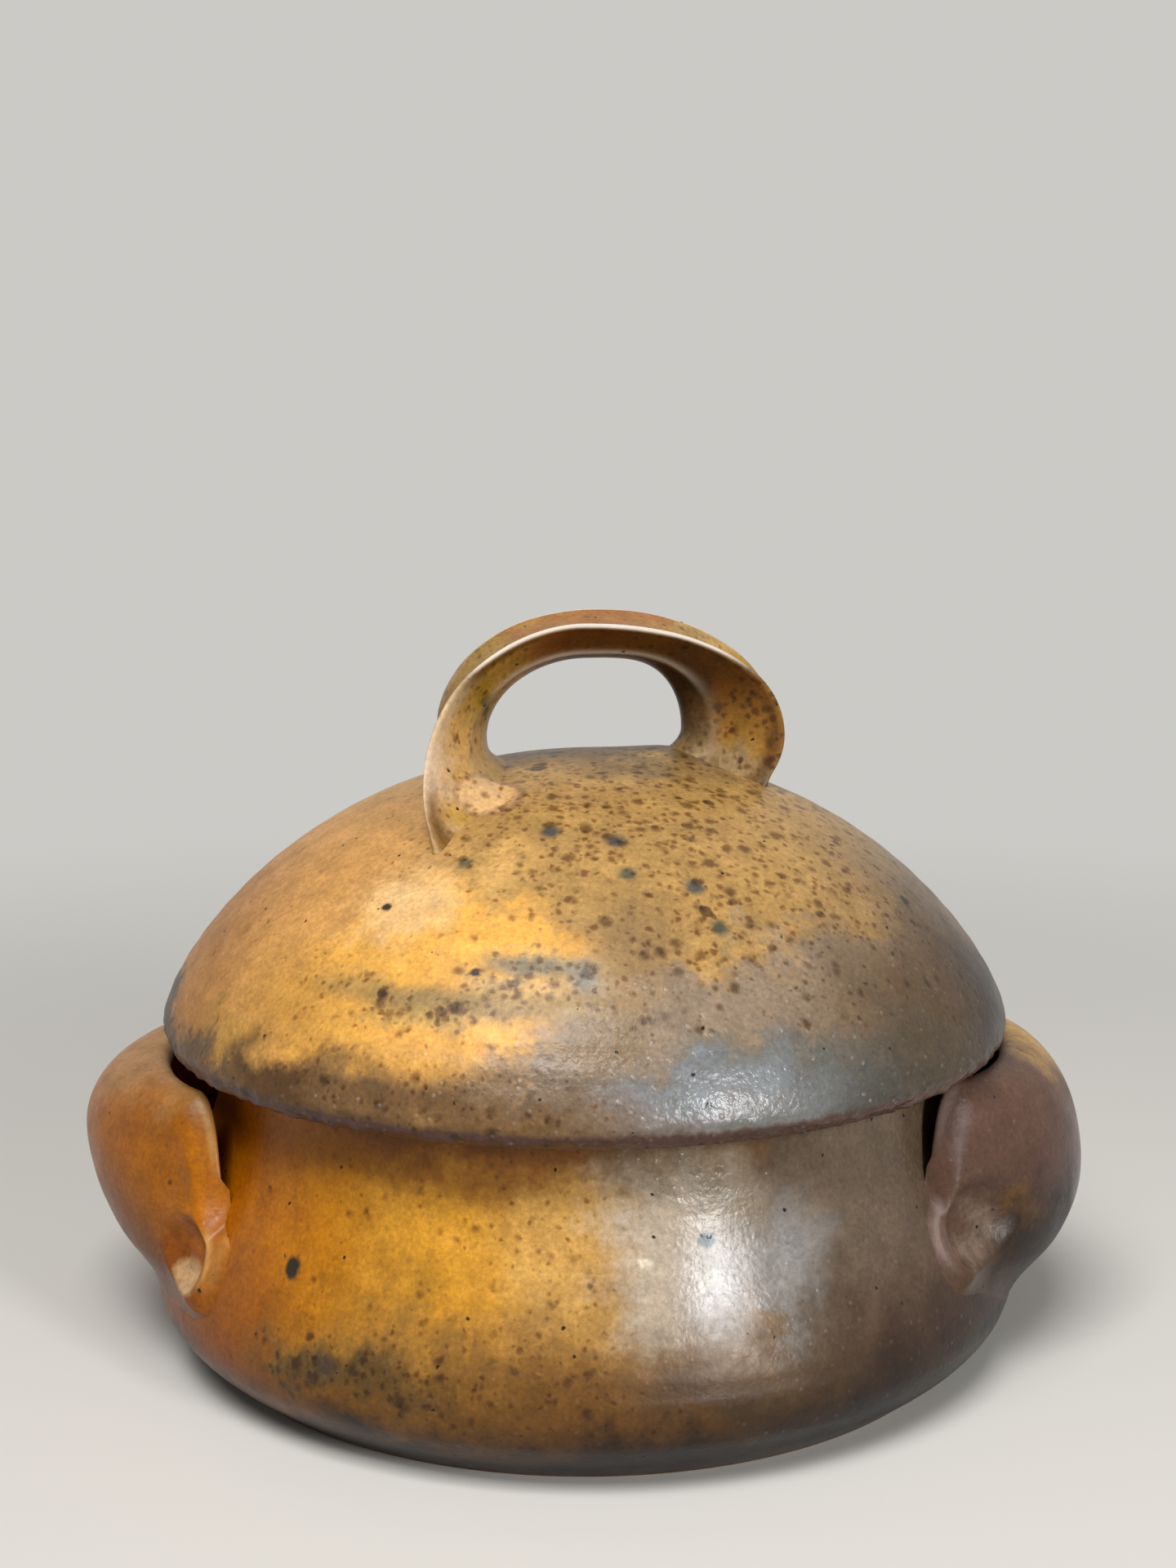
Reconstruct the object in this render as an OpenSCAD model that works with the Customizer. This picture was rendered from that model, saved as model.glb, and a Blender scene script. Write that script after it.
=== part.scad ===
// Hand-thrown stoneware casserole: a squat bowl with two cupped lugs, and a domed cap lid with a
// pulled strap handle. The lid is loose: its ledge sits on the rim and its flange keeps it in place.
// Millimetres, +Z up. The origin is the centre of the flat base, the lugs lie along X.

/* [Bowl] */
// Radius of the flat base
base_r = 109; // [96:1:116]
// Radius of the belly, where the bowl is widest
belly_r = 124; // [118:1:132]
// Height of the belly above the base
belly_z = 21; // [16:1:30]
// Outer radius of the rim
rim_r = 103; // [96:1:108]
// Height of the rim above the base
rim_z = 88; // [82:1:110]
// Thickness of the bowl's wall
bowl_wall = 7; // [5:0.5:9]
// Thickness of the floor
floor_t = 9; // [7:0.5:12]
// Radius of the rounding on the rim
rim_round = 2; // [1:0.25:2.25]

/* [Lid] */
// How far the lid's edge overhangs the rim
lid_overhang = 17; // [12:1:24]
// Rise of the dome above the lid's widest circle
dome_rise = 73; // [55:1:90]
// How far in from the lid's edge the flat crown of the dome ends
shoulder_w = 31; // [24:1:48]
// Thickness of the dome's wall
lid_wall = 7; // [5:0.5:9]
// Radius of the lid's rolled edge
edge_roll = 6; // [4:0.5:8]
// Thickness of the ledge that sits on the rim
ledge_t = 7; // [5:0.5:10]
// Depth of the locating flange below the ledge
flange_depth = 12; // [8:1:20]
// Thickness of the flange
flange_wall = 6; // [4:0.5:8]
// Play between the flange and the bowl's mouth
flange_play = 1.5; // [0.5:0.25:3]

/* [Strap handle] */
// Angle of the strap's run to the line through the lugs
strap_skew = 18; // [0:1:30]
// Half of the finger opening, along the strap
opening_half = 27.5; // [22:0.5:34]
// Height of the finger opening above the dome
opening_rise = 27; // [20:0.5:40]
// How far the strap's edges flare beyond the opening on the left
left_flare = 13.5; // [12:0.5:30]
// How far the strap's edges flare beyond the opening on the right
right_flare = 27; // [12:0.5:32]
// How far the strap's edges flare above the opening at the top
top_flare = 10; // [6:0.5:16]
// Half of the strap's width at the top
strap_half_w = 20; // [14:0.5:28]
// Half of the width of the spread left foot
left_foot_half = 44; // [20:1:46]
// Half of the width of the right foot
right_foot_half = 18; // [16:1:40]
// Thickness of the strap along its middle
strap_mid_t = 8; // [6:0.5:10]
// Thickness of the strap's edges
strap_edge_t = 2.5; // [1.5:0.25:4]

/* [Lugs] */
// How far the lugs stand out from the belly
lug_reach = 20; // [14:1:26]
// Width of the pocket between the rim and a lug's lip
pocket_w = 16; // [12:0.5:22]
// How far the left lug's top lies below the rim
left_drop = 6; // [3:0.5:12]
// How far the right lug's top lies below the rim
right_drop = 3; // [3:0.5:12]
// How far the left lug's widest line lies below its top
left_bulge = 21; // [16:1:34]
// How far the right lug's widest line lies below its top
right_bulge = 36; // [16:1:40]
// Height above the belly of the line where the left lug springs from the bowl
left_spring = 2; // [-6:1:10]
// Height above the belly of the line where the right lug springs from the bowl
right_spring = 3; // [-6:1:10]
// Thickness of a lug's wall
lug_wall = 7; // [5:0.5:8]
// Thickness of the pressed pads at a lug's ends
pad_t = 10; // [8:0.5:13]
// Height above the belly of the left lug's thumb presses
left_thumb = 21; // [16:1:30]
// Height above the belly of the right lug's thumb presses
right_thumb = 28; // [16:1:30]
// Diameter of a thumb press
thumb_d = 20; // [14:1:26]
// Depth of a thumb press
thumb_depth = 4; // [2:0.5:5]

/* [Hidden] */

// Straight pieces in each curve of a thrown outline
curve_steps = 16;
// Thickness of the slip between luted pieces
slip = 0.1;
// Angles on a lug, from its middle: where the mouth ends, where the wall meets the bowl, the pad's end
lug_mouth_a = 15;
lug_join_a = 33;
lug_end_a = 39;
// Angle of the thumb presses, from a lug's middle
thumb_a = 31;
// How far a pad reaches above and below the middle of its thumb press
pad_above = 10;
pad_below = 10;
// How far a pad narrows to its end, 1 for a point
pad_taper = 0.9;
// Least thickness of the clay where a lug thins out onto the bowl
lug_lap = 1.5;
// How sharply a lug swells out of its pads, along its foot and along its lip
foot_swell = 1.8;
lip_swell = 0.7;
// Fullness of each lug's under side, 0 for a straight one
left_fullness = 0.25;
right_fullness = 0.5;
// Steps round a lug and up its wall
lug_steps = 40;
lug_rows = 14;
// Steps along the strap and across it
strap_steps = 48;
strap_rows = 12;
// How far the strap's arch curls back in below its widest point at each foot
left_curl = 26;
right_curl = 28;
// Squareness of the opening's right shoulder, 1 for a plain ellipse
right_shoulder = 0.6;
// Drop of the dome's crown at the end of its flat reach
crown_drop = 3.5;
// Pull of the curve at the lid's edge
edge_pull = 8.5;
// Thickening of the lid's wall towards its edge
edge_fill = 4;
// Flare of the neck below the rim
neck_flare = 1;
// How far the hollow's widest line lies above the belly
hollow_lift = 3;
// Width of the cove between the hollow's wall and the flat floor
floor_cove = 28;

// Heights and radii that follow from the sizes above
lid_r = rim_r + lid_overhang;
crown_reach = lid_r - shoulder_w;
lid_z = rim_z + edge_roll;
apex_z = lid_z + dome_rise;
mouth_r = rim_r - bowl_wall;
flange_r = mouth_r - flange_play;
ledge_in_r = flange_r - flange_wall;
hollow_r = belly_r - bowl_wall;
lug_r = belly_r + lug_reach;
lug_lip_r = rim_r + pocket_w;

function mix(a, b, u) = a + (b - a) * u;
function smooth(a, b, x) = let (u = max(0, min(1, (x - a) / (b - a)))) u * u * (3 - 2 * u);
function bezier(p, t) =
    pow(1 - t, 3) * p[0] + 3 * t * pow(1 - t, 2) * p[1] + 3 * t * t * (1 - t) * p[2] + pow(t, 3) * p[3];
function curve(p) = [for (i = [0:curve_steps]) bezier(p, i / curve_steps)];
function arc(centre, r, from, to, steps = 6) =
    [for (i = [0:steps]) let (a = mix(from, to, i / steps)) centre + r * [cos(a), sin(a)]];
function reversed(list) = [for (i = [len(list) - 1:-1:0]) list[i]];
// A list without its first point, where that point ends the line before it
function rest(list) = [for (i = [1:len(list) - 1]) list[i]];

// Outer outline of the bowl, from the base to the belly and from the belly to the rim
neck_z = rim_z - rim_round;
foot_line = curve([[base_r, 0], [mix(base_r, belly_r, 1 / 3), belly_z / 4],
                   [belly_r, belly_z / 2], [belly_r, belly_z]]);
wall_line = curve([[belly_r, belly_z], [belly_r, mix(belly_z, neck_z, 0.22)],
                   [rim_r + neck_flare, mix(belly_z, neck_z, 0.58)], [rim_r, neck_z]]);
// Inner outline of the bowl, from the rim down to the floor
inner_wall_line = curve([[mouth_r, neck_z], [mouth_r + neck_flare, mix(belly_z, neck_z, 0.58)],
                         [hollow_r, mix(belly_z, neck_z, 0.22)], [hollow_r, belly_z + hollow_lift]]);
inner_floor_line = curve([[hollow_r, belly_z + hollow_lift], [hollow_r, mix(floor_t, belly_z, 1 / 3)],
                          [hollow_r - floor_cove / 3, floor_t], [hollow_r - floor_cove, floor_t]]);

// Outer radius of the bowl at a height, and height of the lid's dome at a radius
wall_table = [for (p = concat(foot_line, wall_line)) [p[1], p[0]]];
function bowl_r(z) = lookup(z, wall_table);
dome_line = curve([[lid_r, lid_z], [lid_r, lid_z + edge_pull],
                   [crown_reach, apex_z - crown_drop], [0, apex_z]]);
function dome_z(r) = lookup(r, dome_line);

// Triangles over a closed tube of rings, each with the same number of points, and over its two flat ends.
// A ring runs along one side of the section and back along the other.
function tube_faces(rings, points) = let (half = points / 2, last = (rings - 1) * points) [
    for (i = [0:rings - 2], j = [0:points - 1])
        let (a = i * points + j, b = i * points + (j + 1) % points)
        each [[a, b, a + points], [b, b + points, a + points]],
    for (j = [0:half - 2]) let (k = points - 1 - j)
        each [[j, k, j + 1], [j + 1, k, k - 1],
              [last + j, last + j + 1, last + k], [last + j + 1, last + k - 1, last + k]]
];

// A point of the strap: turn runs over the arch from the right foot to the left one, across is -1 to 1
// from edge to edge, and skin is 0 on the inside and 1 on the outside.
function strap_point(turn, across, skin) =
    let (side = turn > 90 ? -1 : 1,
         curl = side < 0 ? left_curl : right_curl,
         foot_half = side < 0 ? left_foot_half : right_foot_half,
         flare = across * across,
         square = side < 0 ? 1 : mix(right_shoulder, 1, flare),
         thick = skin * mix(strap_mid_t, strap_edge_t, flare),
         half = side * (opening_half + (side < 0 ? left_flare : right_flare) * flare + thick),
         foot_x = half * pow(cos(curl), square),
         foot_z = dome_z(norm([foot_x, foot_x * tan(strap_skew) + across * foot_half])) + slip,
         top_z = apex_z + opening_rise + top_flare * flare + thick,
         rise = (sin(turn) + sin(curl)) / (1 + sin(curl)),
         x = half * pow(abs(cos(turn)), square),
         spread = pow(1 - rise, 2))
    [x, x * tan(strap_skew) + across * mix(strap_half_w, foot_half, spread), mix(foot_z, top_z, rise)];

// A lug is written as [height of its foot, of its widest line, of its top and of its thumb presses, fullness].
// A point of its middle section, up its wall from the foot to the widest line and on to the rolled lip.
function lug_section(lug, up, inside) =
    let (wall = inside ? lug_wall : 0,
         foot = [bowl_r(lug[0] + wall) + (inside ? slip : lug_lap), lug[0] + wall],
         wide = [lug_r - wall, lug[1]],
         lip = [lug_lip_r, lug[2] - wall])
    up < 0.5
        ? bezier([foot, [mix(foot[0], wide[0], lug[4]), mix(foot[1], wide[1], 1 / 3)],
                  [wide[0], mix(foot[1], wide[1], 0.6)], wide], 2 * up)
        : bezier([wide, [wide[0], mix(wide[1], lip[1], 0.55)],
                  [mix(lip[0], wide[0], 0.55), lip[1]], lip], 2 * up - 1);

// A point of a lug at an angle from its middle: the section swells out of the pads at its two ends
function lug_point(lug, angle, up, inside) =
    let (a = abs(angle),
         thumb_z = lug[3],
         swell = pow(cos(90 * min(1, a / lug_join_a)), mix(foot_swell, lip_swell, up)),
         past_thumb = max(0, a - thumb_a) / (lug_end_a - thumb_a),
         tab = sqrt(1 - pad_taper * past_thumb * past_thumb),
         pad_top = mix(lug[2], thumb_z + pad_above * tab, smooth(lug_mouth_a, lug_join_a, a)),
         pad_foot = mix(lug[0], thumb_z - pad_below * tab, smooth(lug_mouth_a, lug_end_a, a)),
         pad_z = mix(pad_foot, pad_top, up),
         pad = mix(lug_lap, mix(lug_lap, pad_t, tab), sqrt(sin(180 * up))),
         middle = lug_section(lug, up, inside),
         z = mix(pad_z, middle[1], swell),
         r = mix(bowl_r(pad_z) + (inside ? slip : pad), middle[0], swell),
         from_thumb = norm([(a - thumb_a) * PI / 180 * belly_r, z - thumb_z]),
         press = thumb_depth * smooth(thumb_d / 2, 0, from_thumb),
         skin = inside ? max(r, bowl_r(z) + slip) : max(r - press, bowl_r(z) + lug_lap))
    [skin * cos(angle), skin * sin(angle), z];

module bowl_body() {
    color("peru")
    rotate_extrude($fn = 180)
    polygon(concat(
        [[0, 0]], foot_line, rest(wall_line),
        rest(arc([rim_r - rim_round, neck_z], rim_round, 0, 90)),
        arc([mouth_r + rim_round, neck_z], rim_round, 90, 180),
        rest(inner_wall_line), rest(inner_floor_line),
        [[0, floor_t]]));
}

module lug_shell(lug) {
    function ring(a, inside) = [for (j = [0:lug_rows]) lug_point(lug, a, j / lug_rows, inside)];
    points = [for (i = [0:lug_steps]) let (a = mix(-lug_end_a, lug_end_a, i / lug_steps))
        each concat(ring(a, false), reversed(ring(a, true)))];
    polyhedron(points, tube_faces(lug_steps + 1, 2 * (lug_rows + 1)), convexity = 6);
}

module left_lug() {
    top = rim_z - left_drop;
    color("chocolate")
    rotate([0, 0, 180])
    lug_shell([belly_z + left_spring, top - left_bulge, top, belly_z + left_thumb, left_fullness]);
}

module right_lug() {
    top = rim_z - right_drop;
    color("rosybrown")
    lug_shell([belly_z + right_spring, top - right_bulge, top, belly_z + right_thumb, right_fullness]);
}

module lid_dome() {
    inner_line = curve([[0, apex_z - lid_wall], [crown_reach - lid_wall, apex_z - crown_drop - lid_wall],
                        [lid_r - lid_wall - edge_fill / 4, lid_z + edge_pull],
                        [lid_r - lid_wall - edge_fill, rim_z + ledge_t + edge_fill / 2]]);
    color("goldenrod")
    rotate_extrude($fn = 180)
    polygon(concat(
        reversed(dome_line),
        rest(arc([lid_r - edge_roll, lid_z], edge_roll, 0, -90)),
        [[ledge_in_r, rim_z], [ledge_in_r, rim_z + ledge_t]],
        reversed(inner_line)));
}

module lid_flange() {
    tip_round = flange_wall / 3;
    tip_z = rim_z - flange_depth + tip_round;
    color("saddlebrown")
    rotate_extrude($fn = 180)
    polygon(concat(
        [[flange_r, rim_z], [ledge_in_r, rim_z]],
        arc([ledge_in_r + tip_round, tip_z], tip_round, 180, 270),
        arc([flange_r - tip_round, tip_z], tip_round, 270, 360)));
}

module lid_strap_handle() {
    points = [for (i = [0:strap_steps]) let (turn = mix(-right_curl, 180 + left_curl, i / strap_steps)) each concat(
        [for (j = [0:strap_rows]) strap_point(turn, 2 * j / strap_rows - 1, 0)],
        [for (j = [strap_rows:-1:0]) strap_point(turn, 2 * j / strap_rows - 1, 1)])];
    color("darkkhaki")
    polyhedron(points, tube_faces(strap_steps + 1, 2 * (strap_rows + 1)), convexity = 6);
}

bowl_body();
left_lug();
right_lug();
lid_dome();
lid_flange();
lid_strap_handle();
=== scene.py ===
"""Looks of a lidded stoneware casserole, wood-fired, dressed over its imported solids."""

import math

import bmesh
import bpy
import numpy as np
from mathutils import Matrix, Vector, noise
from mathutils.geometry import interpolate_bezier


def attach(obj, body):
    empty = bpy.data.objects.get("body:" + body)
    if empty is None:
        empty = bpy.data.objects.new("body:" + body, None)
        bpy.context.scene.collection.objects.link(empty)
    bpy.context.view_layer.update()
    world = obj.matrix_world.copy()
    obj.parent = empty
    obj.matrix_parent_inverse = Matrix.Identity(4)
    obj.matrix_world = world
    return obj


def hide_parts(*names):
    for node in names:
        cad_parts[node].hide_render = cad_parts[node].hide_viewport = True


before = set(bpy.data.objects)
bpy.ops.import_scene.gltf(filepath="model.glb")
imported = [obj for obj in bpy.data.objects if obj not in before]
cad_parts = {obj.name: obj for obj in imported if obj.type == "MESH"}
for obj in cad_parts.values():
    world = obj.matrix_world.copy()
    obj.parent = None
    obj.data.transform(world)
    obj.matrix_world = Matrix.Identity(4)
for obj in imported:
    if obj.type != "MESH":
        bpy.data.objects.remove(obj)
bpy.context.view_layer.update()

# Bowl: thrown on the wheel from one lump of stoneware, with a low belly and a wide flat base. The
# potter's fingers leave faint rings round it. Its rim and its foot are wiped bare, so that neither
# lid nor kiln shelf fuses to it.
MM = 0.001
base_r, belly_r, belly_z = 109, 124, 21
rim_r, rim_z, rim_round = 103, 88, 2
mouth_r, hollow_r, floor_t, floor_cove = 96, 117, 9, 28
neck_z = rim_z - rim_round
flat_r, cove_r = hollow_r - floor_cove, hollow_r - floor_cove / 2
ring_pitch, ring_depth = 5.6, 0.05
spiral_pitch, spiral_depth = 11, 0.35
bowl_uneven, bowl_uneven_size = 0.3, 38
ROUND = 0.55228     # handle of a cubic curve that follows a quarter circle, as a share of its radius


def mix(a, b, share):
    return a + (b - a) * share


def ease(start, end, x):
    """0 at start, 1 at end and smooth between them."""
    share = max(0, min(1, (x - start) / (end - start)))
    return share * share * (3 - 2 * share)


def outline(*curves):
    """Points along curves in millimetres. Each is a number of steps and its (radius, height) points:
    two for a straight line, four for a cubic curve, and three for a quarter round, whose middle one is
    the corner that it rounds off."""
    points = []
    for steps, *bends in curves:
        first, *pulls, last = (Vector((r, 0, z)) for r, z in bends)
        if not pulls:
            pulls = [first.lerp(last, 1 / 3), first.lerp(last, 2 / 3)]
        elif len(pulls) == 1:
            pulls = [first.lerp(pulls[0], ROUND), last.lerp(pulls[0], ROUND)]
        points += interpolate_bezier(first, *pulls, last, steps + 1)[1 if points else 0:]
    return points


def throw(points, slices, steps):
    """A thrown wall: an outline spun through one slice in steps, and the slice turned round the axis of
    the wheel."""
    clay = bmesh.new()
    ring = [clay.verts.new(point) for point in points]
    for lower, upper in zip(ring, ring[1:]):
        clay.edges.new((lower, upper))
    slice_angle = 2 * math.pi / slices
    wheel = {"axis": (0, 0, 1), "cent": (0, 0, 0), "dvec": (0, 0, 0)}
    line = clay.verts[:] + clay.edges[:]
    bmesh.ops.spin(clay, geom=line, angle=slice_angle, steps=steps, **wheel)
    wedge = clay.verts[:] + clay.edges[:] + clay.faces[:]
    bmesh.ops.spin(clay, geom=wedge, angle=2 * math.pi - slice_angle, steps=slices - 1,
                   use_duplicate=True, **wheel)
    bmesh.ops.remove_doubles(clay, verts=clay.verts, dist=0.01)
    bmesh.ops.recalc_face_normals(clay, faces=clay.faces)
    return clay


def finger_ring(point, pitch, depth):
    """How far the spiral ridge left by the fingers stands out at a point, in some places more than in
    others."""
    turn = math.atan2(point.y, point.x) / (2 * math.pi)
    return depth * math.sin(2 * math.pi * (point.z / pitch + turn)) * (1 + noise.noise(point / 45))


def piece(name, clay, finishes, body, node):
    """Makes an object of a clay mesh in millimetres, and gives it its finishes and its place on the
    frame."""
    bmesh.ops.scale(clay, vec=(MM, MM, MM), verts=clay.verts)
    for face in clay.faces:
        face.smooth = True
    mesh = bpy.data.meshes.new(name)
    clay.to_mesh(mesh)
    clay.free()
    for finish in finishes:
        mesh.materials.append(finish)
    made = bpy.data.objects.new(name, mesh)
    bpy.context.scene.collection.objects.link(made)
    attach(made, body)
    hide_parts(node)


def srgb(code):
    """Linear colour of an sRGB hex value."""
    shares = [int(code[i:i + 2], 16) / 255 for i in (0, 2, 4)]
    return [s / 12.92 if s <= 0.04045 else ((s + 0.055) / 1.055) ** 2.4 for s in shares] + [1]


def add(tree, kind, sockets, **settings):
    """Adds one node with its settings. Each socket takes a value, or the output of another node."""
    made = tree.nodes.new("ShaderNode" + kind)
    for name, value in settings.items():
        setattr(made, name, value)
    for socket, value in sockets.items():
        if isinstance(value, bpy.types.NodeSocket):
            tree.links.new(value, made.inputs[socket])
        else:
            made.inputs[socket].default_value = value
    return made.outputs


# Sockets of the Mix node, which holds one set for each kind of data, and its settings for a coat that
# covers what is under it and for a tint that darkens it
FACTOR, VECTOR_A, VECTOR_B, COLOUR_A, COLOUR_B = 0, 4, 5, 6, 7
MIXED_VECTOR, MIXED_COLOUR = 1, 2
COAT = {"data_type": "RGBA"}
TINT = {"data_type": "RGBA", "blend_type": "MULTIPLY"}
# The range in which most of a noise lies
SWING = {"From Min": 0.3, "From Max": 0.7}


def fired_glaze(name, ground, zones, smoke_and_painted_shade=(), marks=(), thin_glaze_and_glint=None, painted_shade=None):
    """Wood-fired ash glaze on stoneware. Zones of colour lie where flame and ash went, and their edges
    drift. Iron burns through from the clay as specks, gas leaves pinholes, and ash leaves pimples and
    an uneven gloss.

    ground is (colour, finish), and a finish is (roughness, specks, pimples). A zone is (colour, centre,
    reach, softness of its edge, finish), in millimetres. The darkening zones tint what is there darker:
    partly smoke in the glaze, and partly painted shade. marks are small zones with a clearer edge. The
    colour for thin glaze is where the glaze runs off an edge, and it also paints glints and highlights
    along edges; the shade tint is painted shade on a side that the light doesn't reach. These two
    follow the piece's attributes of the same names as their arguments."""
    material = bpy.data.materials.new(name)
    material.use_nodes = True
    tree = material.node_tree
    tree.nodes.clear()
    metres = add(tree, "TexCoord", {})["Object"]
    place = add(tree, "VectorMath", {0: metres, "Scale": 1000}, operation="SCALE")[0]

    # Three sizes of drift push the edges of the zones about, in millimetres: tongues, lobes and crumbs
    moved = place
    for size, push in ((32, 34), (9, 16), (2.6, 8)):
        swirl = add(tree, "TexNoise", {"Vector": place, "Scale": 1 / size, "Detail": 3})["Color"]
        crumbs = add(tree, "VectorMath", {0: swirl, 1: (0.5, 0.5, 0.5)}, operation="SUBTRACT")[0]
        moved = add(tree, "VectorMath", {0: crumbs, 1: (push, push, push), 2: moved},
                    operation="MULTIPLY_ADD")[0]

    def share_of(where, centre, reach, softness):
        """How much of a zone shows at a place, from its centre, its reach along each axis and its soft
        edge."""
        shrink, shift = [1 / r for r in reach], [-c / r for c, r in zip(centre, reach)]
        scaled = add(tree, "VectorMath", {0: where, 1: shrink, 2: shift}, operation="MULTIPLY_ADD")[0]
        far = add(tree, "VectorMath", {0: scaled}, operation="LENGTH")["Value"]
        return add(tree, "MapRange", {"Value": far, "From Min": 1 + softness, "From Max": 1 - softness},
                   interpolation_type="SMOOTHSTEP")[0]

    paint, nature = srgb(ground[0]), ground[1]
    for colour, centre, reach, softness, finish in zones:
        share = share_of(moved, centre, reach, softness)
        paint = add(tree, "Mix", {FACTOR: share, COLOUR_A: paint, COLOUR_B: srgb(colour)},
                    **COAT)[MIXED_COLOUR]
        nature = add(tree, "Mix", {FACTOR: share, VECTOR_A: nature, VECTOR_B: finish},
                     data_type="VECTOR")[MIXED_VECTOR]
    dull, specks, pimples = add(tree, "SeparateXYZ", {0: nature})
    # Darkening zones: smoke in the glaze, and painted shade
    for tint, centre, reach, softness in smoke_and_painted_shade:
        share = share_of(moved, centre, reach, softness)
        paint = add(tree, "Mix", {FACTOR: share, COLOUR_A: paint, COLOUR_B: srgb(tint)},
                    **TINT)[MIXED_COLOUR]
    # Painted shade where the piece's attribute marks a side out of the light
    if painted_shade:
        share = add(tree, "Attribute", {}, attribute_name="painted_shade")["Fac"]
        paint = add(tree, "Mix", {FACTOR: share, COLOUR_A: paint, COLOUR_B: srgb(painted_shade)},
                    **TINT)[MIXED_COLOUR]

    # The finest drift alone frays the marks, the specks and the pinholes
    ragged = add(tree, "VectorMath", {0: crumbs, 1: (2.2, 2.2, 2.2), 2: place},
                 operation="MULTIPLY_ADD")[0]
    for colour, centre, reach, softness in marks:
        share = share_of(ragged, centre, reach, softness)
        paint = add(tree, "Mix", {FACTOR: share, COLOUR_A: paint, COLOUR_B: srgb(colour)},
                    **COAT)[MIXED_COLOUR]

    # Mottling of the melt: clouds of 9 mm, the lines of throwing, 1.8 mm apart, and grit, which is finer
    # in the clay and drawn 1.3 mm wide so that it shows
    clouds = add(tree, "TexNoise", {"Vector": place, "Scale": 1 / 9, "Detail": 6, "Roughness": 0.74})[0]
    mottle = add(tree, "MapRange", {"Value": clouds, **SWING, "To Min": 0.73, "To Max": 1.21})[0]
    stretched = add(tree, "VectorMath", {0: place, 1: (1 / 70, 1 / 70, 1 / 1.8)}, operation="MULTIPLY")[0]
    lines = add(tree, "TexNoise", {"Vector": stretched, "Scale": 1, "Detail": 2})[0]
    striped = add(tree, "MapRange", {"Value": lines, **SWING, "To Min": 0.96, "To Max": 1.04})[0]
    grain = add(tree, "TexNoise", {"Vector": place, "Scale": 1 / 1.3, "Detail": 2, "Roughness": 0.7})[0]
    gritty = add(tree, "MapRange", {"Value": grain, **SWING, "To Min": 0.8, "To Max": 1.16})[0]
    shade = add(tree, "Math", {0: mottle, 1: striped}, operation="MULTIPLY")[0]
    shade = add(tree, "Math", {0: shade, 1: gritty}, operation="MULTIPLY")[0]
    paint = add(tree, "VectorMath", {0: paint, "Scale": shade}, operation="SCALE")[0]

    # Iron specks: the spacing and the usual radius in millimetres, the tint, how far it covers, and the
    # softness of the edge. The more of them a zone has, the larger they are.
    for spacing, radius, tint, cover, soft in ((2.3, 0.95, "A07C4C", 0.8, 0.8),
                                               (4.6, 1.75, "866A40", 0.78, 0.8),
                                               (14, 1.9, "54463A", 0.8, 0.4)):
        cells = add(tree, "TexVoronoi", {"Vector": ragged, "Scale": 1 / spacing})
        chance = add(tree, "SeparateColor", {0: cells["Color"]})["Red"]
        shrunk = add(tree, "Math", {0: chance, 1: -1.2}, operation="MULTIPLY")[0]
        grown = add(tree, "Math", {0: specks, 1: 1.6, 2: shrunk}, operation="MULTIPLY_ADD")[0]
        inside = add(tree, "Math", {0: cells["Distance"], 1: -spacing / radius, 2: grown},
                     operation="MULTIPLY_ADD")[0]
        speck = add(tree, "MapRange", {"Value": inside, "From Max": soft, "To Max": cover})[0]
        paint = add(tree, "Mix", {FACTOR: speck, COLOUR_A: paint, COLOUR_B: srgb(tint)},
                    **TINT)[MIXED_COLOUR]

    # Thin glaze along edges, with painted glints and highlights in the same pale colour
    if thin_glaze_and_glint:
        edge = add(tree, "Attribute", {}, attribute_name="thin_glaze_and_glint")["Fac"]
        thin_and_glint_share = add(tree, "Math", {0: edge, 1: clouds, 2: edge}, operation="MULTIPLY_ADD",
                   use_clamp=True)[0]
        paint = add(tree, "Mix", {FACTOR: thin_and_glint_share, COLOUR_A: paint, COLOUR_B: srgb(thin_glaze_and_glint)},
                    **COAT)[MIXED_COLOUR]

    # Pinholes 9 mm apart go black; pimples of melted ash 3 mm apart stand up and go pale, and the pale
    # also paints their glints
    holes = add(tree, "TexVoronoi", {"Vector": ragged, "Scale": 1 / 9})
    hole = add(tree, "MapRange", {"Value": holes["Distance"], "From Min": 0.06, "From Max": 0.035})[0]
    paint = add(tree, "Mix", {FACTOR: hole, COLOUR_A: paint, COLOUR_B: srgb("1E130B")},
                **COAT)[MIXED_COLOUR]
    drops = add(tree, "TexVoronoi", {"Vector": place, "Scale": 1 / 3})
    round_drop = add(tree, "MapRange", {"Value": drops["Distance"], "From Min": 0.28, "From Max": 0.05},
                     interpolation_type="SMOOTHSTEP")[0]
    uneven = add(tree, "SeparateColor", {0: drops["Color"]})["Green"]
    drop = add(tree, "Math", {0: round_drop, 1: uneven}, operation="MULTIPLY")[0]
    drop = add(tree, "Math", {0: drop, 1: pimples}, operation="MULTIPLY")[0]
    pale = add(tree, "Math", {0: drop, 1: 0.3}, operation="MULTIPLY")[0]
    paint = add(tree, "Mix", {FACTOR: pale, COLOUR_A: paint, COLOUR_B: srgb("D8CDBB")},
                **COAT)[MIXED_COLOUR]

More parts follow.
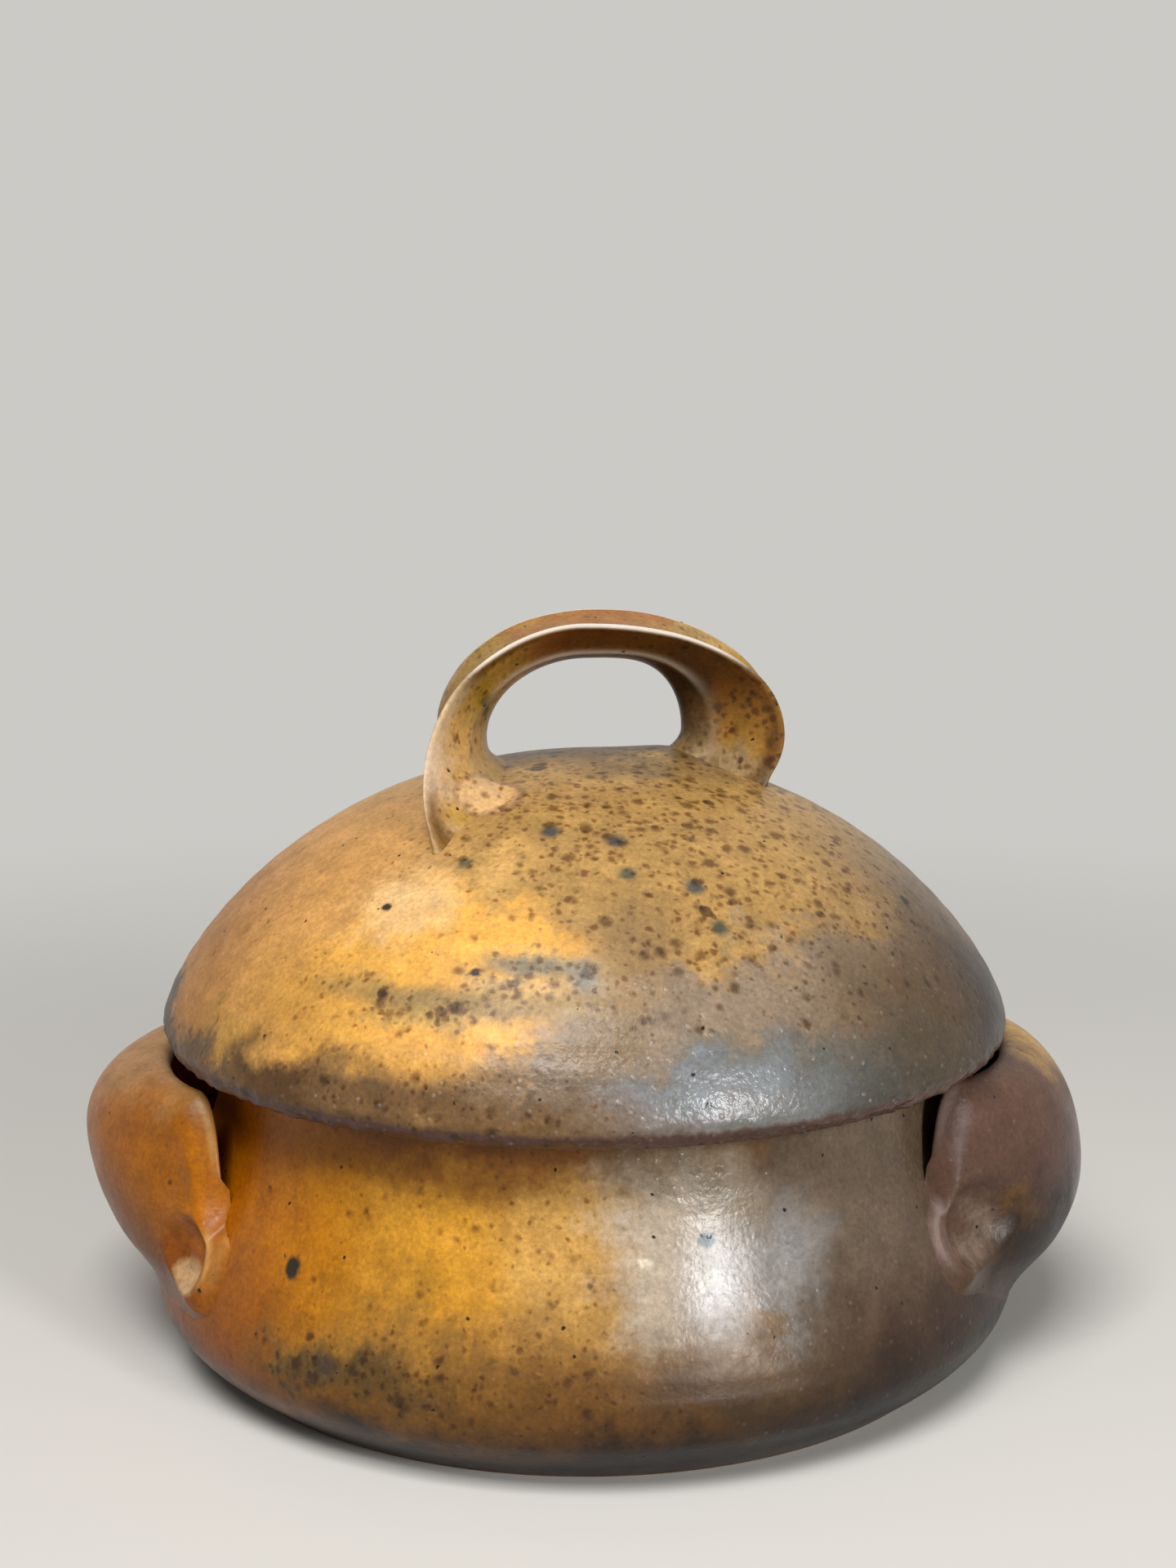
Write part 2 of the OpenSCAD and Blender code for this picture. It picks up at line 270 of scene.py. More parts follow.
    # Relief in millimetres: orange peel of the melt, 1.6 mm wide and taller in the ash, the lines of
    # throwing, pimples up and pinholes down
    peel = add(tree, "TexNoise", {"Vector": place, "Scale": 1 / 1.6, "Detail": 2})[0]
    peel_height = add(tree, "Math", {0: pimples, 1: 0.25, 2: 0.06}, operation="MULTIPLY_ADD")[0]
    relief = add(tree, "Math", {0: peel, 1: peel_height}, operation="MULTIPLY")[0]
    for bump, height in ((lines, 0.05), (drop, 0.4), (hole, -0.5)):
        relief = add(tree, "Math", {0: bump, 1: height, 2: relief}, operation="MULTIPLY_ADD")[0]
    normal = add(tree, "Bump", {"Height": relief, "Distance": MM, "Strength": 1})[0]
    gloss = add(tree, "MapRange", {"Value": clouds, **SWING, "To Min": 0.07, "To Max": -0.05})[0]
    rough = add(tree, "Math", {0: dull, 1: gloss}, operation="ADD", use_clamp=True)[0]
    shader = add(tree, "BsdfPrincipled", {"Base Color": paint, "Roughness": rough, "Normal": normal,
                                          "IOR": 1.5, "Specular IOR Level": 0.33})[0]
    add(tree, "OutputMaterial", {"Surface": shader})
    return material


# Ash glaze on the bowl: amber on the side turned to the fire, golden in front, olive grey in the lee
ALL_ROUND = 400
bowl_glaze = fired_glaze(
    "wood_fired_ash_glaze_bowl", ("D0A053", (0.33, 0.75, 0.1)), [
        ("C48208", (-110, -55, 50), (80, 110, 90), 0.45, (0.36, 0.6, 0.05)),  # amber side
        ("B86600", (-128, -50, 40), (60, 100, 80), 0.5, (0.36, 0.42, 0.05)),  # deepest amber
        ("B07C34", (-30, 110, 50), (70, 60, 55), 0.5, (0.36, 0.5, 0.1)),      # back, to the left
        ("7A6347", (70, 100, 50), (70, 70, 60), 0.4, (0.32, 0.5, 0.3)),       # back, to the right
        ("D8992A", (-37, -106, 51), (15, 40, 24), 0.9, (0.34, 0.6, 0.05)),    # golden flame
        ("C4B29C", (24, -112, 60), (16, 40, 30), 0.5, (0.2, 0.3, 0.1)),       # pale flash
        ("736250", (125, -70, 52), (99, 120, 95), 0.16, (0.23, 0.35, 0.3)),   # olive grey lee
        ("6C5342", (98, -80, 16), (48, 70, 30), 0.5, (0.38, 0.4, 0.2)),       # mauve brown below it
        ("9A9793", (47, -103, 55), (11, 30, 13), 0.7, (0.24, 0.3, 0.2)),      # painted sheen: the grey tail of the highlight beside the flash
        ("A07A48", (39, -112, 38), (8, 30, 6), 0.6, (0.3, 0.5, 0.1)),         # ochre tongue
        ("745A3A", (46, -113, 28), (27, 30, 11), 0.6, (0.44, 0.5, 0.15)),     # brown below it
        ("B0A592", (24, -99, 77), (18, 40, 7), 0.6, (0.24, 0.3, 0.5)),        # ash under the lid
        ("BC8C40", (-22, -112, 32), (44, 30, 9), 0.8, (0.36, 0.82, 0.2)),     # specks low in front
        ("8A6A34", (-60, -105, 27), (26, 30, 6), 0.6, (0.36, 1, 0.2)),        # speckled cloud
    ], smoke_and_painted_shade=[
        ("6E5C48", (45, -20, 0), (180, 260, 44), 0.6),           # darker towards the foot: smoke, and painted shade where the wall turns under
        ("E0D4C4", (-10, -122, 26), (34, 30, 16), 0.8),          # low in front: smoke, and painted shade near the foot
        ("4A3020", (0, 0, 0), (ALL_ROUND, ALL_ROUND, 15), 0.5),  # at the foot: scorched clay, and painted shade at the floor
        ("A68A66", (-10, -100, 88), (62, 50, 15), 0.5),          # painted shadow of the lid on the neck
        ("DDD5CC", (145, -55, 35), (70, 100, 80), 0.4),          # painted shade on the flank under the right lug
    ], marks=[
        ("AEA8A4", (34, -108, 51), (8, 30, 11), 0.8),           # painted highlight: the pale heart of the sheen on the flash
        ("2A2116", (-75, -87, 47), (2.2, 3, 3), 0.3),           # iron spot
        ("1E4450", (30, -104, 61), (2, 3, 1.8), 0.4),           # blue spot
        ("E2D3BA", (15, -109, 57), (1.7, 4, 0.8), 0.5),         # chip of ash
        ("4A3A2A", (-65, -104, 28), (3, 4, 2.4), 0.6),          # dark core of the speckled cloud
        ("24140A", (0, 0, 0), (ALL_ROUND, ALL_ROUND, 5), 0.4),  # scorched foot
    ])
# Liner glaze: an even brown gloss inside bowl and lid, darker where it pools
liner_glaze = fired_glaze("brown_liner_glaze", ("8C6B40", (0.3, 0.5, 0.05)), [
    ("6F5030", (0, 0, 12), (60, 60, 20), 0.6, (0.25, 0.5, 0.05)),  # pooled on the floor
])
# Bare stoneware: matt and sandy brown where the glaze was wiped off, flushed by the flame on one side
bare_clay = fired_glaze("bare_fired_stoneware", ("94704F", (0.75, 0.5, 0)), [
    ("7E5A40", (60, 40, 60), (90, 90, 90), 0.6, (0.7, 0.6, 0)),  # flushed side
])

wall_low_z, wall_high_z = mix(belly_z, neck_z, 0.22), mix(belly_z, neck_z, 0.58)
hollow_z = belly_z + 3
bowl_base = outline((2, (0, 0), (base_r - 1, 0)))
bowl_wall = outline(
    (18, (base_r - 1, 0), (mix(base_r, belly_r, 1 / 3), belly_z / 4), (belly_r, belly_z / 2),
     (belly_r, belly_z)),
    (48, (belly_r, belly_z), (belly_r, wall_low_z), (rim_r + 1, wall_high_z), (rim_r, neck_z)))
bowl_rim = outline(
    (5, (rim_r, neck_z), (rim_r, rim_z), (rim_r - rim_round, rim_z)),
    (2, (rim_r - rim_round, rim_z), (mouth_r + rim_round, rim_z)),
    (5, (mouth_r + rim_round, rim_z), (mouth_r, rim_z), (mouth_r, neck_z)))
bowl_inside = outline(
    (26, (mouth_r, neck_z), (mouth_r + 1, wall_high_z), (hollow_r, wall_low_z), (hollow_r, hollow_z)),
    (20, (hollow_r, hollow_z), (hollow_r, mix(floor_t, belly_z, 1 / 3)),
     (hollow_r - floor_cove / 3, floor_t), (flat_r, floor_t)),
    (44, (flat_r, floor_t), (0, floor_t)))
bowl_clay = throw(bowl_base + bowl_wall[1:] + bowl_rim[1:] + bowl_inside[1:], 18, 16)

BARE, LINED = 1, 2      # finishes beside the ash glaze, which is 0
for face in bowl_clay.faces:
    middle = face.calc_center_median()
    r = math.hypot(middle.x, middle.y)
    if middle.z < 0.5 or middle.z > rim_z - 0.4:
        face.material_index = BARE
    elif face.normal.x * middle.x + face.normal.y * middle.y < 0 or r < flat_r:
        face.material_index = LINED
for vert in bowl_clay.verts:
    r = math.hypot(vert.co.x, vert.co.y)
    free = ease(2, 12, vert.co.z) * ease(rim_z - 0.5, rim_z - 8, vert.co.z)
    ring = finger_ring(vert.co, ring_pitch, ring_depth)
    ring += bowl_uneven * noise.noise(vert.co / bowl_uneven_size)
    if r > 1:
        vert.co.xy *= 1 + ring * free / r
    if vert.normal.z > 0.5 and r < cove_r:
        # The spiral that the fingers leave on the floor, from the middle outwards
        turn = math.atan2(vert.co.y, vert.co.x) / (2 * math.pi)
        fade = ease(2, 12, r) * ease(cove_r, flat_r - 8, r)
        vert.co.z += spiral_depth * fade * math.sin(2 * math.pi * (r / spiral_pitch - turn))
piece("bowl_body_glazed", bowl_clay, [bowl_glaze, bare_clay, liner_glaze], "pot", "bowl_body")

# Lugs: two cupped ears, each pulled from a slab of clay and luted onto the bowl with a thumb at either
# end. The thumb leaves a round hollow with a raised rim, and the clay round it is wiped thin onto the
# bowl's wall.
lug_r, lug_lip_r, lug_wall = 144, 119, 7
foot_angle, join_angle, end_angle = 15, 33, 39
pad_t, pad_above, pad_below, pad_taper, lug_lap = 5, 13, 16, 0.9, 0.6
thumb_floor, thumb_dish, thumb_rim, thumb_soft = 0.7, 3.8, 0.5, 0.9
foot_swell, lip_swell = 1.8, 0.42
lug_uneven, lug_uneven_size = 0.25, 14
sunk = 0.7      # how far a wiped edge goes under the skin of what it is luted to
wall_heights = np.array([point.z for point in bowl_wall[1:]])
wall_radii = np.array([point.x for point in bowl_wall[1:]])


def bowl_radius(z):
    return float(np.interp(z, wall_heights, wall_radii))


def slab(along, across, edge_rows):
    """A flat slab with unit sides: x along it, y across it, and z 0 inside and 1 outside, with rows in
    its edges."""
    clay = bmesh.new()
    bmesh.ops.create_grid(clay, x_segments=along, y_segments=across, size=0.5)
    bmesh.ops.translate(clay, vec=(0.5, 0.5, 0), verts=clay.verts)
    lifted = bmesh.ops.extrude_face_region(clay, geom=clay.faces[:], use_keep_orig=True)["geom"]
    upper = [part for part in lifted if isinstance(part, bmesh.types.BMVert)]
    bmesh.ops.translate(clay, vec=(0, 0, 1), verts=upper)
    upright = [edge for edge in clay.edges if abs(edge.verts[0].co.z - edge.verts[1].co.z) > 0.5]
    bmesh.ops.subdivide_edges(clay, edges=upright, cuts=edge_rows, use_grid_fill=True)
    return clay


def bend(first, pull_out, pull_in, last, share):
    """A point on a cubic curve."""
    rest = 1 - share
    return (rest ** 3 * first + 3 * share * rest ** 2 * pull_out
            + 3 * share ** 2 * rest * pull_in + share ** 3 * last)


def lug_section(lug, up, inside):
    """The lug's middle section as (radius, height), from its foot over its widest line to its lip."""
    wall = lug_wall if inside else 0
    foot_z = lug["foot"] + wall
    foot = Vector((bowl_radius(foot_z) + (0 if inside else lug_lap), foot_z))
    wide = Vector((lug_r - wall, lug["wide"]))
    lip = Vector((lug_lip_r + lug_wall / 2, lug["top"] - wall))
    if up < 0.5:
        return bend(foot, Vector((mix(foot.x, wide.x, lug["full"]), mix(foot.y, wide.y, 1 / 3))),
                    Vector((wide.x, mix(foot.y, wide.y, 0.6))), wide, 2 * up)
    return bend(wide, Vector((wide.x, mix(wide.y, lip.y, 0.55))),
                Vector((mix(lip.x, wide.x, 0.55), lip.y)), lip, 2 * up - 1)


def thumb_press(lug, turn, z, ridge):
    """How far a place lies from the middle of the thumb press, where 1 is on its rim, and how much of a
    ridge of a given width lies there. The ridge runs round the upper part of the press, which is open
    below."""
    aside = math.radians(turn - lug["thumb_at"]) * belly_r / lug["thumb_w"]
    above = (z - lug["thumb"]) / lug["thumb_h"]
    far = math.hypot(aside, above)
    return far, math.exp(-((far - 1.06) / ridge) ** 2) * ease(-0.9, 0.1, above)


def lug_skin(lug, angle, up, inside):
    """A point of the lug's skin at an angle from its middle, where its section swells out of the thumbed
    pads."""
    turn = abs(angle)
    radians = math.radians(angle) * (1 - lug["gather"] * ease(0.4, 1, up))
    join = mix(join_angle, lug["join"], ease(0.45, 1, up))
    inwards = math.cos(math.pi / 2 * min(1, turn / join))
    fullness = mix(foot_swell, lip_swell, up)
    swell = inwards ** fullness
    bulge = inwards ** mix(fullness, lug["hug"], ease(0.65, 1, up))
    past_thumb = max(0, turn - lug["thumb_at"]) / (end_angle - lug["thumb_at"])
    tab = math.sqrt(1 - pad_taper * past_thumb ** 2)
    dip = ease(lug["lip"], lug["join"] + 1, turn)
    pad_top = mix(lug["top"], lug["thumb"] + pad_above * tab * tab, dip)
    pad_foot = mix(lug["foot"], lug["thumb"] - pad_below * tab, ease(foot_angle, end_angle, turn))
    pad_z = mix(pad_foot, pad_top, up)
    pad_round = math.sin(math.pi * min(1, up)) ** (1.4 if up < 0.5 else 0.7)
    pad = lug_lap + (pad_t - lug_lap) * tab * pad_round
    section = lug_section(lug, up, inside)
    z = mix(pad_z, section.y, swell)
    r = mix(bowl_radius(pad_z) + (0 if inside else pad), section.x, bulge)
    # The edges along the foot, along the pads and at the ends are wiped down into the bowl's wall
    wiped = max(ease(0.28, 0, up), ease(0.8, 1, up) * ease(0.26, 0.05, swell),
                ease(end_angle - 7, end_angle, turn))
    if inside:
        r = max(r, bowl_radius(z))
        r = mix(r, bowl_radius(z) - sunk, wiped)
    else:
        r = mix(r, bowl_radius(z) - sunk, wiped)
        from_thumb, ridge = thumb_press(lug, turn, z, 0.16)
        r += thumb_rim * ridge
        dish = bowl_radius(z) + thumb_floor + thumb_dish * from_thumb ** 2
        near = max(0, 1 - abs(r - dish) / thumb_soft)
        r = min(r, dish) - thumb_soft * near * near / 4
    return Vector((r * math.cos(radians), r * math.sin(radians), z))


def pull_lug(name, lug, facing, finish, node):
    """Pulls a slab into a lug, and rounds its lip over."""
    clay = slab(190, 90, 6)
    thin_glaze_and_glint = clay.verts.layers.float.new("thin_glaze_and_glint")
    for vert in clay.verts:
        angle, up, skin = (2 * vert.co.x - 1) * end_angle, vert.co.y, vert.co.z
        if skin in (0, 1):
            place = lug_skin(lug, angle, up, skin == 0)
        else:
            outer, inner = lug_skin(lug, angle, up, False), lug_skin(lug, angle, up, True)
            half = (outer - inner) / 2
            place = (outer + inner) / 2 - half * math.cos(math.pi * skin)
            if up > 0.99:
                onward = (outer - lug_skin(lug, angle, 0.97, False)).normalized()
                place += onward * half.length * math.sin(math.pi * skin)
        # The glaze runs thin on the outer rim of the thumb press and on the wiped strip beside it, and a
        # painted glint in the same pale colour runs along the ends of the lip
        turn = abs(angle)
        beyond_thumb = ease(lug["thumb_at"] - 3, lug["thumb_at"] + 3, turn)
        rim = thumb_press(lug, turn, place.z, 0.1)[1] * beyond_thumb
        strip = math.exp(-((turn - end_angle + 3.6) / 1.1) ** 2) * ease(0.3, 0.55, up)
        lip_end = ease(lug["lip"] - 2, lug["lip"] + 3, turn) * ease(-0.5, -3, turn - lug["join"])
        lip = ease(0.96, 0.99, up) * lip_end
        vert[thin_glaze_and_glint] = skin * max(0.35 * rim, 0.1 * strip, 0.3 * lip)
        outwards = Vector((place.x, place.y, 0)).normalized()
        place += lug_uneven * noise.noise(place / lug_uneven_size) * outwards
        vert.co = Vector((facing * place.x, facing * place.y, place.z))
    bmesh.ops.recalc_face_normals(clay, faces=clay.faces)
    piece(name, clay, [finish], "pot", node)


# Ash glaze on the lugs: orange brown on the fire's side, and mauve brown in its lee
left_glaze = fired_glaze(
    "wood_fired_flash_glaze_left", ("A66000", (0.33, 0.4, 0.1)), [
        ("AA7840", (-122, 0, 84), (40, 60, 10), 0.5, (0.4, 0.4, 0.05)),  # pale top, lighter also as painted light where it faces up
        ("C47200", (-105, -64, 43), (8, 9, 9), 0.4, (0.33, 0.3, 0.1)),   # thumb press, lightened as painted light in its hollow
    ], smoke_and_painted_shade=[
        ("B8A494", (-125, 0, 30), (60, 90, 18), 0.5),  # painted shade on the under side
    ], marks=[
        ("CBA272", (-108, -64, 36), (5.6, 7, 5.2), 0.2),  # painted highlight in the hollow of the thumb press
    ], thin_glaze_and_glint="DDB26C")
right_glaze = fired_glaze(
    "wood_fired_flash_glaze_right", ("5F4335", (0.42, 0.3, 0.2)), [
        ("927F6E", (108, -62, 45), (9, 10, 8), 0.5, (0.3, 0.2, 0.1)),     # thumb press, with a painted silvery sheen
        ("523C26", (112, -62, 28), (26, 40, 16), 0.6, (0.3, 0.4, 0.2)),   # foot, brown as the bowl is
        ("583A30", (138, -20, 55), (16, 50, 16), 0.5, (0.24, 0.3, 0.1)),  # plum flush
        ("8A683A", (122, -50, 45), (7, 10, 9), 0.5, (0.35, 0.6, 0.1)),    # ochre by the thumb press
        ("2E1606", (128, -46, 34), (16, 26, 17), 0.5, (0.42, 0.4, 0.1)),  # dark under side, painted shade
        ("BE9450", (131, 5, 83), (14, 26, 7), 0.7, (0.4, 0.5, 0.1)),      # yellow crest
    ], smoke_and_painted_shade=[
        ("806044", (134, 0, 28), (44, 90, 30), 0.5),  # painted shade on the under side
    ], thin_glaze_and_glint="9C8C84")
# Heights in millimetres, "full" as how far the section stands out below its widest line, the thumb press
# by its angle, half width and half height, "gather" as how much narrower the lug is along its lip than
# at its foot, and the angles at which the lip starts to dip, "lip", and meets the bowl's wall, "join".
# The larger "hug" is, the sooner the lip curves in towards the wall.
left = {"foot": 15, "wide": 61, "top": 82, "full": 0.38, "gather": 0.02,
        "lip": 25, "join": 32.7, "hug": 0.42,
        "thumb": 38.5, "thumb_at": 30.8, "thumb_w": 7.4, "thumb_h": 8.2}
right = {"foot": 14, "wide": 49, "top": 85, "full": 0.55, "gather": 0,
         "lip": 27, "join": 33.6, "hug": 0.6,
         "thumb": 45.5, "thumb_at": 31.5, "thumb_w": 9.5, "thumb_h": 9.5}
pull_lug("left_lug_glazed", left, -1, left_glaze, "left_lug")
pull_lug("right_lug_glazed", right, 1, right_glaze, "right_lug")

# Lid: a dome thrown upside down, then turned over, with a rolled edge that overhangs the neck of the
# bowl. Ash melted onto its shoulder and left a rough crust along the lip. Its ledge is wiped bare where
# it sits on the rim.
lid_r, lid_z, apex_z = 120, 94, 167
crown_reach, crown_drop, edge_pull, edge_roll = 89, 3.5, 8.5, 6
lid_wall, ledge_t, ledge_in_r, ledge_bends = 7, 7, 88.5, (98, 106)
hollow_edge_r, hollow_foot_r, hollow_foot_z = 112, 109, 97
ledge_z = rim_z + ledge_t
lid_ring_pitch, lid_ring_depth, lid_ring_start = 6.5, 0.06, (30, 60)
lid_uneven, lid_uneven_size = 0.3, 40
crust_depth, crust_grain, crust_edge = 0.8, 2.6, (97, 91)
press_place, press_reach, press_depth, press_rim = Vector((-27, -36)), Vector((10.5, 6.5)), 1.4, 0.6
spread_place, spread_reach, spread_height = Vector((27, 8)), 15, 3.4

dome_line = outline(
    (84, (0, apex_z), (crown_reach, apex_z - crown_drop), (lid_r, lid_z + edge_pull), (lid_r, lid_z)))
lid_edge = outline(
    (12, (lid_r, lid_z), (lid_r, rim_z), (lid_r - edge_roll, rim_z)),
    (3, (lid_r - edge_roll, rim_z), (ledge_in_r, rim_z)),
    (3, (ledge_in_r, rim_z), (ledge_in_r, ledge_z)),
    (4, (ledge_in_r, ledge_z), (ledge_bends[0], ledge_z), (ledge_bends[1], ledge_z),
     (hollow_foot_r, hollow_foot_z)))
lid_hollow = outline(
    (24, (hollow_foot_r, hollow_foot_z), (hollow_edge_r, lid_z + edge_pull),
     (crown_reach - lid_wall, apex_z - crown_drop - lid_wall), (0, apex_z - lid_wall)))
lid_clay = throw(dome_line + lid_edge[1:] + lid_hollow[1:], 27, 20)
for face in lid_clay.faces:
    middle = face.calc_center_median()
    r = math.hypot(middle.x, middle.y)
    if middle.z < rim_z + 0.3:
        face.material_index = BARE
    elif face.normal.z < 0 and r < hollow_edge_r:
        face.material_index = LINED
for vert in lid_clay.verts:
    flat = Vector((vert.co.x, vert.co.y))
    outside = vert.co.z > rim_z + 0.5 and (vert.normal.z > 0 or flat.length > hollow_edge_r)
    if not outside:
        continue
    crust = ease(*crust_edge, vert.co.z)
    rings = finger_ring(vert.co, lid_ring_pitch, lid_ring_depth) * ease(*lid_ring_start, flat.length)
    lift = rings * (1 - crust) + lid_uneven * noise.noise(vert.co / lid_uneven_size)
    lift += crust_depth * crust * noise.noise(vert.co / crust_grain)
    # A thumb press beside the strap's left foot, with a raised rim
    off = flat - press_place
    from_press = math.hypot(off.x / press_reach.x, off.y / press_reach.y)
    lift += press_rim * math.exp(-((from_press - 1.05) / 0.16) ** 2)
    lift -= press_depth * ease(1, 0.4, from_press)
    # Clay wiped out over the dome from the strap's right foot
    lift += spread_height * math.exp(-((flat - spread_place).length / spread_reach) ** 2)
    vert.co += vert.normal * lift

# Ash glaze on the lid: tan and yellow towards the fire, speckled olive over the crown, and taupe under
# a blue-grey gloss of melted ash along the front of the shoulder
wiped_press = [
    ("7E5A40", (-26, -36, 161), (9.8, 11.6, 6.2), 0.14),   # its outline
    ("D2A873", (-26.5, -36, 161), (8.9, 10.6, 5.4), 0.2),  # wiped through to the clay
]
lid_glaze = fired_glaze(
    "wood_fired_ash_glaze_lid", ("B0894E", (0.36, 0.95, 0.15)), [
        ("D59B53", (-105, -20, 118), (72, 110, 62), 0.35, (0.42, 0.48, 0.05)),  # tan flank
        ("B98A4C", (-40, 95, 120), (60, 50, 40), 0.4, (0.4, 0.6, 0.1)),         # back, to the left
        ("8F7A62", (60, 90, 108), (70, 60, 22), 0.3, (0.3, 0.6, 0.5)),          # back, to the right
        ("ECAD4E", (-35, -92, 121), (40, 45, 29), 0.14, (0.38, 0.6, 0.05)),     # yellow patch
        ("EEC184", (-46, -70, 139), (15, 12, 7), 0.9, (0.4, 0.2, 0)),           # pale peach patch
        ("D8A860", (-21, -67, 149), (9, 12, 5), 0.7, (0.38, 0.6, 0.05)),        # top of the yellow patch
        ("8E7A65", (72, -80, 103), (88, 80, 30), 0.15, (0.3, 0.75, 0.5)),       # taupe shoulder
        ("8E7A65", (21, -98, 121), (23, 30, 10.5), 0.3, (0.3, 0.75, 0.4)),      # its tongue in front
        ("7B654B", (116, -25, 112), (56, 90, 46), 0.5, (0.34, 0.8, 0.3)),       # dark flank: darker glaze, and painted shade away from the light
        ("807466", (50, -85, 98), (110, 80, 13), 0.3, (0.26, 0.4, 0.5)),        # grey band
        ("656866", (40, -104, 95), (54, 40, 12), 0.6, (0.2, 0.2, 0.8)),         # blue-grey gloss
        ("8B959E", (28, -113, 97), (28, 20, 8), 0.7, (0.17, 0.1, 0.8)),         # pale heart of it, with a painted reflection of the window
        ("745634", (-56, -80, 94), (96, 90, 13), 0.45, (0.34, 0.8, 0.5)),       # brown band
        ("DCA054", (-104, -52, 109), (14, 20, 9), 0.6, (0.42, 0.4, 0.1)),       # bright by the edge
        ("CB9848", (-91, -72, 105), (15, 20, 7), 0.6, (0.42, 0.5, 0.1)),        # and below it
        ("5C3E1E", (-77, -88, 101), (14, 16, 7), 0.6, (0.34, 0.8, 0.3)),        # soot beside it
        ("C09A58", (-30, -98, 121), (34, 40, 4.5), 0.8, (0.38, 1.2, 0.1)),      # streak
        ("AE9263", (-12, -97, 128.5), (16, 40, 3.4), 0.8, (0.36, 1.2, 0.1)),    # hook above it
        ("745A34", (24, 2, 168), (40, 22, 8), 0.6, (0.36, 0.9, 0.1)),           # ash under the strap, and painted shade of the strap
        ("5E523C", (-119, -8, 97), (10, 40, 9), 0.3, (0.4, 0.8, 0.3)),          # smoked edge
    ], smoke_and_painted_shade=[
        ("D8CCBC", (-128, -15, 120), (46, 70, 60), 0.4),  # far left flank
        ("8A7258", (120, -38, 100), (18, 40, 24), 0.6),   # darker at the right edge: darker glaze, and painted shade
        ("A69782", (125, -60, 98), (72, 75, 38), 0.5),    # lower right flank: darker glaze, and painted shade
    ], marks=[
        ("CA9342", (-74, -80, 116), (13, 30, 9), 0.9),               # amber end of the yellow patch
        ("DEA451", (-41, -107, 109), (13, 30, 5), 0.7),              # its lower edge
        ("866E50", (3, -106, 115), (12, 30, 9), 0.5),                # taupe beside it
        ("917247", (13, -86, 134), (11, 30, 9), 0.7),                # olive above the taupe
        *wiped_press,
        ("4D4A44", (-9, -56, 155), (2.6, 2.6, 3), 0.6),              # six iron spots
        ("4D4A44", (8, -60, 153), (2.6, 2.4, 3), 0.6),
        ("5A5540", (11, -72, 147), (2.2, 2.2, 3), 0.6),
        ("5A5548", (28, -73, 144), (2.6, 2.4, 3), 0.6),
        ("55503E", (34, -83, 136), (2.4, 2.2, 3), 0.6),
        ("6A5F40", (-31, -64, 148), (2, 2, 3), 0.6),
        ("3A2414", (-51, -70, 138), (1.6, 2, 1), 0.4),               # three burst bubbles
        ("3A2414", (-27, -95, 127), (1.4, 2, 1), 0.4),
        ("2E2A28", (30, -115, 99), (1.2, 2, 1), 0.4),
        ("A38450", (-30, -98, 120.5), (32, 40, 2.8), 0.6),           # olive run of the streak
        ("918368", (-11, -97, 129), (13, 40, 1.8), 0.7),             # grey run of the hook
        ("8A8272", (0, -99, 127), (3.4, 40, 3), 0.7),                # its turned-down end
        ("573C33", (0, 0, 82), (ALL_ROUND, ALL_ROUND, 11.3), 0.07),  # crust of the lip
    ])
piece("lid_dome_glazed", lid_clay, [lid_glaze, bare_clay, liner_glaze], "lid", "lid_dome")

# Flange: a collar thrown with the lid, that drops into the bowl's mouth and keeps the lid from sliding.
# It is left bare of glaze, as the seat of a lid is.
flange_r, tip_z, tip_round = 94.5, 76, 2
flange_top = rim_z + 1      # it is joined to the lid inside the ledge
flange_ring_pitch, flange_ring_depth = 4, 0.1
flange_clay = throw(outline(
    (3, (ledge_in_r, flange_top), (ledge_in_r, tip_z + tip_round)),
    (5, (ledge_in_r, tip_z + tip_round), (ledge_in_r, tip_z), (ledge_in_r + tip_round, tip_z)),
    (5, (flange_r - tip_round, tip_z), (flange_r, tip_z), (flange_r, tip_z + tip_round)),
    (5, (flange_r, tip_z + tip_round), (flange_r, flange_top)),
    (1, (flange_r, flange_top), (ledge_in_r, flange_top))), 18, 16)
for vert in flange_clay.verts:
    ring = finger_ring(vert.co, flange_ring_pitch, flange_ring_depth)
    vert.co += vert.normal * ring * ease(rim_z, rim_z - 4, vert.co.z)
piece("lid_flange_bare", flange_clay, [bare_clay], "lid", "lid_flange")

# Strap handle: a ribbon of clay pulled by hand, arched over and pressed onto the dome. It is thick along
# its middle and flares to thin edges, and its left foot is spread wide with the thumb.
strap_skew, opening_half, opening_rise = math.radians(18), 27.5, 27
left_flare, right_flare, top_flare = 13.5, 27, 10
strap_half_w, left_foot_half, right_foot_half = 20, 44, 18
strap_mid_t, strap_edge_t = 8, 1.8
left_curl, right_curl, right_shoulder = math.radians(26), math.radians(28), 0.6
rib_line, rib_width, rib_height = 0.6, 0.09, 0.8
fillet_reach, fillet_height = 3.5, 5
pad_place, pad_width, pad_swell, end_swell = -0.6, 0.25, 5, 4
strap_uneven, strap_uneven_size = 0.3, 16
dome_radii = np.array([point.x for point in dome_line])
dome_heights = np.array([point.z for point in dome_line])


def dome_height(x, y):
    return float(np.interp(math.hypot(x, y), dome_radii, dome_heights))


